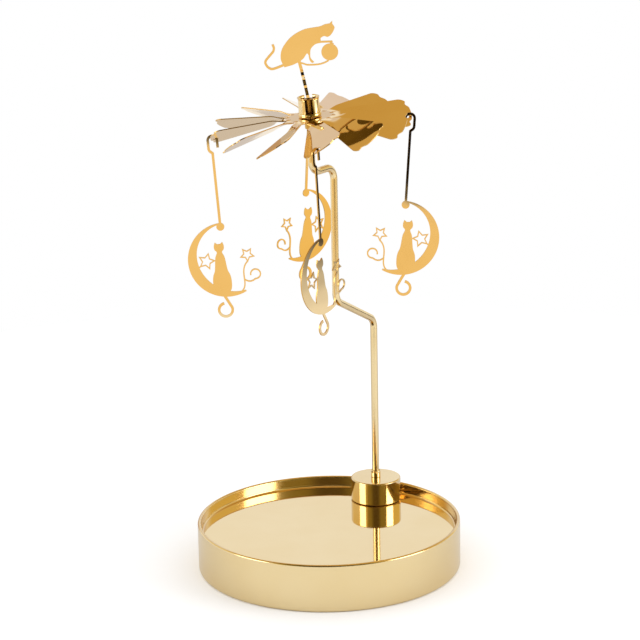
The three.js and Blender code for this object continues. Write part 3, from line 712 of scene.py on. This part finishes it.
# an outline filled and given its thickness, half to each side of the XY plane
def flatSheet(name, outlines, thickness):
    data = bpy.data.curves.new(name, "CURVE")
    data.dimensions = "2D"
    data.fill_mode = "BOTH"
    data.extrude = thickness / 2
    for outline in outlines:
        spline = data.splines.new("POLY")
        spline.points.add(len(outline) - 1)
        for spot, (x, y) in zip(spline.points, outline):
            spot.co = (x, y, 0, 1)
        spline.use_cyclic_u = True
    piece = bpy.data.objects.new(name, data)
    bpy.context.collection.objects.link(piece)
    pick(piece)
    bpy.ops.object.convert(target="MESH")
    piece = bpy.context.object
    weld(piece, fineWeldGap)
    return piece


# half of the sector's outline, from the hub along one slit and round the vane's corner
def sectorHalf(side):
    half = math.pi / rotor["vanes"]
    points = [(rotor["reliefReach"] * math.cos(half), side * rotor["reliefReach"] * math.sin(half))]
    for i in range(rotor["outlineSteps"] + 1):
        share = math.cos(i / rotor["outlineSteps"] * math.pi / 2)
        reach = vaneReach(share * rotor["tip"] / 2)
        points.append((reach, side * share * vaneHalfWidth(reach)))
    root = rotor["hub"] - rotor["rootInset"]
    points.insert(1, (root, side * vaneHalfWidth(root)))
    return points


# one twelfth of the rotor, cut flat and then bent
def makeSector(holed):
    deselectAll()
    sheet = rotor["sheet"]
    bpy.ops.mesh.primitive_grid_add(x_subdivisions=rotor["grid"][0], y_subdivisions=rotor["grid"][1],
                                    size=1, location=(rotor["radius"] / 2, 0, -sheet / 2))
    sector = bpy.context.object
    sector.scale = (rotor["radius"] + 1, rotor["tip"] + 1, 1)
    bpy.ops.object.transform_apply(location=True, scale=True, rotation=False)
    editAll(sector)
    bpy.ops.mesh.extrude_region_move(TRANSFORM_OT_translate={"value": (0, 0, sheet)})
    bpy.ops.object.mode_set(mode="OBJECT")
    weld(sector)
    upper, lower = sectorHalf(1), sectorHalf(-1)
    outline = [(0, 0)] + upper + lower[::-1][1:]
    cutBy(sector, flatSheet("sectorOutline", [outline], 3 * sheet), "INTERSECT")
    half = math.pi / rotor["vanes"]
    pegs = [(rotor["hubHole"], (0, 0))]
    for side in (-1, 1):
        reach = rotor["reliefReach"]
        pegs.append((rotor["relief"], (reach * math.cos(half), side * reach * math.sin(half))))
    if holed:
        pegs.append((rotor["hookHole"], (rotor["radius"] - rotor["hookInset"], rotor["hookOffset"])))
    for radius, place in pegs:
        cutBy(sector, addPeg(radius, -rotor["drill"], rotor["drill"], rotor["pegSides"], place))
    slope = Vector((math.sin(half), math.cos(half), 0))

    def facesNeighbour(face):
        lean, place = face.normal, face.center
        off = (Vector((abs(lean.x), abs(lean.y), lean.z)) - slope).length
        aside = abs(abs(place.y) - place.x * math.tan(half))
        return place.xy.length < rotor["reliefReach"] and max(off, aside) < rotor["slack"]

    # the cut faces towards the neighbours go, so that the twelve sectors join into one sheet
    editWhere(sector, "FACE", facesNeighbour)
    bpy.ops.mesh.delete(type="FACE")
    bpy.ops.object.mode_set(mode="OBJECT")
    dressEdges(sector)
    for corner in sector.data.vertices:
        corner.co = bent(corner.co)
    return sector


edgeRise = 0.5  # a cut edge is a face whose normal rises or falls less than this


# flat faces are gilded sheet, and the sheet's cut edge is etched: matt, with a painted shade that darkens it
def dressEdges(piece):
    piece.data.materials.clear()
    piece.data.materials.append(metals["gildedSheet"])
    piece.data.materials.append(metals["etchedEdgePaintedShade"])
    for face in piece.data.polygons:
        face.material_index = 1 if abs(face.normal.z) < edgeRise else 0


def makeRotor():
    plain, holed = makeSector(False), makeSector(True)
    sectors = []
    for i in range(rotor["vanes"]):
        sector = copyOf(holed if i in rotor["holed"] else plain, "sector")
        heading = math.radians(rotor["phase"]) + i * math.tau / rotor["vanes"]
        sector.matrix_world = Matrix.Rotation(heading, 4, "Z")
        sectors.append(sector)
    for pattern in (plain, holed):
        bpy.data.objects.remove(pattern, do_unlink=True)
    pick(*sectors)
    bpy.ops.object.join()
    piece = bpy.context.object
    piece.name = "vaneRotor"
    weld(piece, rotor["joinGap"])
    seat(piece, "vane_rotor", "rotor", "gildedSheet",
         rotorTurn() @ Matrix.Translation((0, 0, rotor["rise"])))


makeRotor()
print("rotor made")

# bearing cup, slotted post and split crown, all turned, at the middle of the rotor
hub = {
    "cup": 2.4,
    "cupDepth": 2.2,
    "coneMouth": 1.7,
    "coneDepth": 0.5,
    "gap": 0.3,
    "spigot": 0.75,
    "spigotDepth": 0.5,
    "bore": 0.9,
    "post": 1.95,
    "postHeight": 5.8,
    "slit": 1.1,
    "slitDepth": 4.4,
    "crown": 4.5,
    "crownTop": 4.05,
    "crownHeight": 7.4,
    "crownWall": 0.5,
    "crownFloor": 0.6,
    "bead": 1.2,
    "flare": 0.35,
    "slot": 3,
    "sill": 0.7,
    "backDrop": 1.6,
    "jawEdge": 0.08,
    "cupRounds": [(2, 0.25, 3), (3, 0.2, 3)],
    "postRounds": [(4, 0.3, 4)],
    "crownRounds": [(1, 0.3, 4), (2, 0.3, 4), (4, 0.4, 4), (5, 0.18, 3), (6, 0.18, 3), (7, 0.4, 4)],
    "steps": 96,
    "crownSteps": 144,
    "clear": 1,  # cutters stand this far past what they cut
}

# heights along the rotor's leaning axis, from the point that it turns about
hubUnder = rotor["rise"] - rotor["sheet"] / 2
crownBase = rotor["rise"] + rotor["sheet"] / 2 + hub["gap"]
crownFloor = crownBase + hub["crownFloor"]
crownRim = crownBase + hub["crownHeight"]


def makeCup():
    top = hubUnder - hub["gap"]
    boreFloor = top - hub["spigotDepth"] - hub["gap"]
    places = [(0, hub["coneDepth"]), (hub["coneMouth"], -hub["cupDepth"]), (hub["cup"], -hub["cupDepth"]),
              (hub["cup"], top), (hub["bore"], top), (hub["bore"], boreFloor), (0, boreFloor)]
    piece = turnedPiece("bearingCup", places, hub["cupRounds"], hub["steps"])
    seat(piece, "bearing_cup", "rotor", "turnedBrass", rotorTurn())


makeCup()


def makePost():
    base = crownFloor + hub["gap"]
    foot = hubUnder - hub["gap"] - hub["spigotDepth"]
    top = base + hub["postHeight"]
    places = [(0, foot), (hub["spigot"], foot), (hub["spigot"], base), (hub["post"], base),
              (hub["post"], top), (0, top)]
    piece = turnedPiece("slottedPost", places, hub["postRounds"], hub["steps"])
    high = hub["slitDepth"] + hub["clear"]
    size = (2 * hub["post"] + hub["clear"], hub["slit"], high)
    cutBy(piece, addBlock(size, (0, 0, top - hub["slitDepth"] + high / 2)))
    seat(piece, "slotted_post", "rotor", "turnedBrass", rotorTurn())


makePost()


def makeCrown():
    shoulder = hub["crown"] - hub["crownWall"] / 2
    neck, mouth = crownRim - 2 * hub["flare"], hub["crownTop"] + hub["flare"]
    places = [
        (hub["bore"], crownBase),
        (hub["crown"], crownBase),
        (hub["crown"], crownBase + hub["bead"]),
        (shoulder, crownBase + hub["bead"] + hub["crownWall"] / 2),
        (hub["crownTop"], neck),
        (mouth, crownRim),
        (mouth - hub["crownWall"], crownRim),
        (hub["crownTop"] - hub["crownWall"], neck),
        (shoulder - hub["crownWall"], crownFloor),
        (hub["bore"], crownFloor),
    ]
    piece = turnedPiece("splitCrown", places, hub["crownRounds"], hub["crownSteps"])
    # the gap between the jaws: deep in front, shallow behind
    over = crownRim + hub["clear"]
    for side, low in ((-1, crownFloor + hub["sill"]), (1, crownRim - hub["backDrop"])):
        size = (hub["slot"], 2 * hub["crown"], over - low)
        cutBy(piece, addBlock(size, (0, side * hub["crown"], (low + over) / 2)))
    softenEdges(piece, hub["jawEdge"], 2)
    seat(piece, "split_crown", "rotor", "mirrorGoldPlate", rotorTurn())


makeCrown()
print("hub made")

# pendants, each etched from one sheet: hook, strip, crescent moon, seated cat, stars, sprig and tail curl
pendant = {
    "sheet": 0.5,
    "wire": 1,
    "line": 0.75,
    "sprigLine": 0.55,
    "hookOpening": 2.55,
    "hookDrop": 5.6,
    "hookTip": 4.2,
    "stripShift": -0.4,
    "moonRadius": 14.8,
    "moonShift": 0.5,
    "moonDrop": 48.5,
    "moonStart": 96,
    "moonEnd": 297,
    "moonBand": 4.1,
    "moonTip": 0.6,
    "moonLean": 1.2,
    "knob": 1.55,
    "catHeight": 21.4,
    "catHalfWidth": 3.65,
    "catShift": -1.8,
    "star": 3.6,
    "starLine": 0.5,
    "starShare": -0.515,
    "curl": 2.65,
    "curlDrop": 5.2,
    "curlShift": -1.6,
    "sprigStar": 3.1,
    "sprigCurl": 1.9,
    "tailTurn": (35, -262),
    "sprigTurn": (-95, 190),
    "tieTurn": 216,
    "tieShares": (0.8, 1.3),
    "knobSides": 32,
    "hookSteps": 24,
    "bendSteps": 8,
    "catSteps": 6,
    "moonSteps": 72,
    "tailSteps": 36,
    "stemSteps": 24,
    "spiralSteps": 30,
}

# places as shares: of the cat's half width and height, and for the sprig of the moon's radius
catSideShares = [(0.16, 0.965), (0.4, 1), (0.53, 0.93), (0.49, 0.865), (0.28, 0.812), (0.5, 0.71),
                 (0.62, 0.55), (0.71, 0.46), (0.92, 0.37), (1, 0.25), (0.92, 0.12), (0.6, 0.04)]
stemShares = [(0.25, -0.935), (0.61, -0.777), (0.27, -0.37), (0.545, -0.1)]
tendrilShares = [(0.425, -0.56), (0.56, -0.7), (0.73, -0.45)]
sprigStarShare = (0.56, 0.085)


def arcPoints(x, y, radius, start, end, steps):
    angles = [math.radians(start + (end - start) * i / steps) for i in range(steps + 1)]
    return [(x + radius * math.cos(a), y + radius * math.sin(a)) for a in angles]


# a curve between the outer controls that is drawn towards the inner ones
def curvePoints(controls, steps):
    line = []
    for i in range(steps + 1):
        row = [Vector(c) for c in controls]
        while len(row) > 1:
            row = [a.lerp(b, i / steps) for a, b in zip(row, row[1:])]
        line.append(tuple(row[0]))
    return line


# a smooth line through points
def smoothThrough(points, steps):
    last = len(points) - 1
    line = [points[0]]
    for i in range(last):
        a, b, c, d = (Vector(points[k]) for k in (max(i - 1, 0), i, i + 1, min(i + 2, last)))
        for k in range(1, steps + 1):
            t = k / steps
            square, cube = 2 * a - 5 * b + 4 * c - d, 3 * b - a - 3 * c + d
            line.append(tuple(b + 0.5 * t * ((c - a) + t * (square + t * cube))))
    return line


# the outline of an even line through points
def bandOutline(points, width):
    one, other = [], []
    for i, point in enumerate(points):
        along = (Vector(points[min(i + 1, len(points) - 1)]) - Vector(points[max(i - 1, 0)])).normalized()
        side = Vector((-along.y, along.x)) * width / 2
        one.append(tuple(Vector(point) + side))
        other.insert(0, tuple(Vector(point) - side))
    return one + other


starPoints = 5


# a star whose notches lie at half its radius
def starOutline(x, y, radius, start):
    points = []
    for i in range(2 * starPoints):
        reach = radius if i % 2 == 0 else radius / 2
        angle = start + i * math.pi / starPoints
        points.append((x + reach * math.cos(angle), y + reach * math.sin(angle)))
    return points


# an open star: an outline, and the same one smaller for its hole
def starSheets(x, y, radius, start):
    return [starOutline(x, y, radius, start), starOutline(x, y, radius - 2 * pendant["starLine"], start)]


def scaled(shares, x, y, width, height):
    return [(x + u * width, y + v * height) for u, v in shares]


def catOutline(x, base):
    width, height = pendant["catHalfWidth"], pendant["catHeight"]
    right = scaled(catSideShares, x, base, width, height)
    left = scaled([(-u, v) for u, v in catSideShares], x, base, width, height)
    down = smoothThrough(right[1:], pendant["catSteps"])
    up = smoothThrough(left[1:][::-1], pendant["catSteps"])
    return [right[0]] + down + up + [left[0]]


# the crescent's outer arc, and an inner one that comes close to it at both tips
def moonOutline(x, y):
    radius = pendant["moonRadius"]
    outer, inner = [], []
    for i in range(pendant["moonSteps"] + 1):
        along = i / pendant["moonSteps"]
        angle = math.radians(pendant["moonStart"] + (pendant["moonEnd"] - pendant["moonStart"]) * along)
        swell = math.sin(math.pi * along ** pendant["moonLean"])
        reach = radius - (pendant["moonTip"] + (pendant["moonBand"] - pendant["moonTip"]) * swell)
        outer.append((x + radius * math.cos(angle), y + radius * math.sin(angle)))
        inner.insert(0, (x + reach * math.cos(angle), y + reach * math.sin(angle)))
    return outer + inner


def hookOutline(knobDrop):
    middle = (pendant["hookOpening"] + pendant["wire"]) / 2
    bottom = -pendant["hookDrop"] - pendant["wire"] / 2
    line = [(middle, -pendant["hookTip"])]
    line += arcPoints(0, -pendant["hookOpening"] / 2, middle, 0, 180, pendant["hookSteps"])
    line += curvePoints([(-middle, -pendant["hookTip"]), (-middle, -pendant["hookDrop"]),
                         (pendant["stripShift"], bottom)], pendant["bendSteps"])
    line.append((pendant["stripShift"], -knobDrop))
    return bandOutline(line, pendant["wire"])


def tailOutline():
    top = -pendant["moonDrop"] - pendant["moonRadius"]
    x, y = pendant["curlShift"], top - pendant["curlDrop"]
    curl = arcPoints(x, y, pendant["curl"], *pendant["tailTurn"], pendant["tailSteps"])
    start = (x, top + pendant["moonTip"])
    lead = curvePoints([start, (x + pendant["line"], top - pendant["line"]), curl[0]], pendant["bendSteps"])
    return bandOutline(lead + curl[1:], pendant["line"] + pendant["moonTip"] / 2)


def sprigOutlines(x, y):
    size = pendant["moonRadius"]
    root, knee, curl = scaled(tendrilShares, x, y, size, size)
    spiral = arcPoints(*curl, pendant["sprigCurl"], *pendant["sprigTurn"], pendant["spiralSteps"])
    tendril = curvePoints([root, knee, spiral[0]], pendant["bendSteps"]) + spiral[1:]
    stem = curvePoints(scaled(stemShares, x, y, size, size), pendant["stemSteps"])
    starPlace = scaled([sprigStarShare], x, y, size, size)[0]
    return [
        [bandOutline(stem, pendant["sprigLine"])],
        [bandOutline(tendril, pendant["sprigLine"])],
        starSheets(*starPlace, pendant["sprigStar"], -math.pi / 2),
    ]


straightAngle = 1  # corners that turn by fewer degrees than this go


# several flat shapes fused into one sheet
def fusedSheet(name, shapes, thickness):
    piece = flatSheet(name, shapes[0], thickness)
    for shape in shapes[1:]:
        cutBy(piece, flatSheet("part", shape, thickness), "UNION")
    editAll(piece)
    bpy.ops.mesh.dissolve_limited(angle_limit=math.radians(straightAngle))
    bpy.ops.object.mode_set(mode="OBJECT")
    weld(piece, fineWeldGap)
    return piece


# the flat pendant, and the direction from its hook to its middle of mass, which hangs straight down
def makePendantSheet():
    x, y = pendant["moonShift"], -pendant["moonDrop"]
    knobDrop = pendant["moonDrop"] - pendant["moonRadius"] + pendant["knob"]
    starX = x + pendant["starShare"] * pendant["moonRadius"]
    angle = math.radians(pendant["tieTurn"])
    along = Vector((math.cos(angle), math.sin(angle))) * pendant["star"]
    tie = [tuple(Vector((starX, y)) + share * along) for share in pendant["tieShares"]]
    shapes = [
        [moonOutline(x, y)],
        [hookOutline(knobDrop)],
        [arcPoints(pendant["stripShift"], -knobDrop, pendant["knob"], 0, 360, pendant["knobSides"])[:-1]],
        [catOutline(pendant["catShift"], y - pendant["moonRadius"] + pendant["moonTip"])],
        starSheets(starX, y, pendant["star"], 0),
        [bandOutline(tie, pendant["starLine"])],
        [tailOutline()],
        *sprigOutlines(x, y),
    ]
    piece = fusedSheet("pendantSheet", shapes, pendant["sheet"])
    faces = [face for face in piece.data.polygons if face.normal.z > flatRise]
    area = sum(face.area for face in faces)
    middle = sum((triangleMiddle(piece, face) for face in faces), Vector()) / area
    dressEdges(piece)
    return piece, math.atan2(middle.y, middle.x)


# a face's first moment of area, from the triangles that it fans into
def triangleMiddle(piece, face):
    places = [piece.data.vertices[i].co for i in face.vertices]
    moment = Vector()
    for b, c in zip(places[1:], places[2:]):
        a = places[0]
        moment += (b - a).cross(c - a).z / 2 * (a + b + c) / 3
    return moment


def makePendants():
    pattern, lean = makePendantSheet()
    upright = Matrix.Rotation(math.pi / 2, 4, "X") @ Matrix.Rotation(-math.pi / 2 - lean, 4, "Z")
    for side in ("left", "front", "right", "back"):
        joint = jointOf(f"pendant_{side}_swing")
        heading = math.atan2(-joint["axis"][0], joint["axis"][1])
        turn = Matrix.Translation(Vector(joint["pos_m"]) / mm) @ Matrix.Rotation(heading, 4, "Z") @ upright
        piece = copyOf(pattern, f"{side}Pendant")
        seat(piece, f"pendant_{side}", f"pendant_{side}", "gildedSheet", turn)
    bpy.data.objects.remove(pattern, do_unlink=True)


makePendants()
print("pendants made")

# top figure: a crouching cat that reaches for a bauble, on its own strip
figure = {"strip": 1.2, "foot": 3.8, "length": 14, "size": 22, "lean": 12.3, "bauble": 3.2, "cap": 1.5,
          "capShare": 0.2, "ground": 0.6, "tail": 0.9, "bowFrom": 1.4, "bowTo": 11.9, "bowCount": 3,
          "bowDepth": 0.22, "bowSteps": 24, "curveSteps": 8, "ballSides": 64}

# the cat's outline in parts, from its rump over the back and round, as shares of its size
backShares = [(-0.3, 0.155), (-0.232, 0.325), (-0.04, 0.485), (0.207, 0.563), (0.478, 0.552), (0.575, 0.567),
              (0.66, 0.562)]
earShares = [(0.718, 0.597), (0.705, 0.545)]
faceShares = [(0.729, 0.478), (0.687, 0.412), (0.628, 0.36), (0.572, 0.345), (0.516, 0.372), (0.452, 0.352)]
armShares = [(0.445, 0.302), (0.64, 0.262), (0.64, 0.228), (0.45, 0.268)]
chestShares = [(0.342, 0.268), (0.25, 0.21), (0.215, 0.118), (0.209, 0.045), (0.25, -0.03)]
legShares = [(0.207, -0.034), (0.178, 0.03), (0.181, 0.11), (0.158, 0.142), (0.092, 0.08), (0.01, 0.035)]
baseShares = [(-0.12, 0.006), (-0.27, -0.002)]
groundShares = [(0, 0.02), (0.065, -0.016), (0.132, -0.053), (0.3, -0.085), (0.41, -0.083), (0.5, -0.06)]
tailShares = [(-0.24, 0.045), (-0.457, 0.016), (-0.53, 0.045), (-0.568, 0.11), (-0.562, 0.18), (-0.45, 0.27),
              (-0.398, 0.31), (-0.37, 0.368), (-0.378, 0.435)]
baubleShare = (0.551, 0.079)


# the thin strip bows in and out a little between the crown and the cat, which bands what it mirrors
def bowStrip(piece):
    steps = figure["bowSteps"]
    for i in range(steps + 1):
        along = i / steps
        height = figure["bowFrom"] + (figure["bowTo"] - figure["bowFrom"]) * along
        editAll(piece)
        bpy.ops.mesh.bisect(plane_co=(0, height, 0), plane_no=(0, 1, 0))
        editWhere(piece, "VERT", lambda corner: abs(corner.co.y - height) < touch)
        depth = figure["bowDepth"] * (1 - math.cos(figure["bowCount"] * along * math.tau)) / 2
        bpy.ops.transform.translate(value=(0, 0, -depth))
    bpy.ops.object.mode_set(mode="OBJECT")


def makeFigure():
    size, steps = figure["size"], figure["curveSteps"]

    def place(shares):
        return scaled(shares, 0, figure["length"], size, size)

    haunch, rump = place(baseShares)
    outline = [rump]
    runs = ((backShares, earShares), (faceShares, armShares), (chestShares, []), (legShares, []))
    for curve, straight in runs:
        outline += smoothThrough([outline[-1]] + place(curve), steps)[1:] + place(straight)
    outline.append(haunch)
    ball = place([baubleShare])[0]
    hand = place([armShares[1]])[0]
    cap = [ball, tuple(Vector(hand).lerp(Vector(ball), figure["capShare"]))]
    shapes = [
        [outline],
        [bandOutline([(0, -figure["foot"]), (0, figure["length"] + figure["strip"])], figure["strip"])],
        [arcPoints(*ball, figure["bauble"], 0, 360, figure["ballSides"])[:-1]],
        [bandOutline(cap, figure["cap"])],
        [bandOutline(smoothThrough(place(groundShares), steps), figure["ground"])],
        [bandOutline(smoothThrough(place(tailShares), steps), figure["tail"])],
    ]
    piece = fusedSheet("catFigure", shapes, pendant["sheet"])
    bowStrip(piece)
    dressEdges(piece)
    lift = crownRim - hub["backDrop"] / 2
    lean = math.radians(-figure["lean"] - rotor["roll"])
    turn = (rotorTurn() @ Matrix.Translation((0, 0, lift)) @ Matrix.Rotation(lean, 4, "Y")
            @ Matrix.Rotation(math.pi / 2, 4, "X"))
    seat(piece, "cat_figure", "ornament", "gildedSheet", turn)


makeFigure()
print("figure made")

bpy.context.scene.view_settings.view_transform = "Standard"
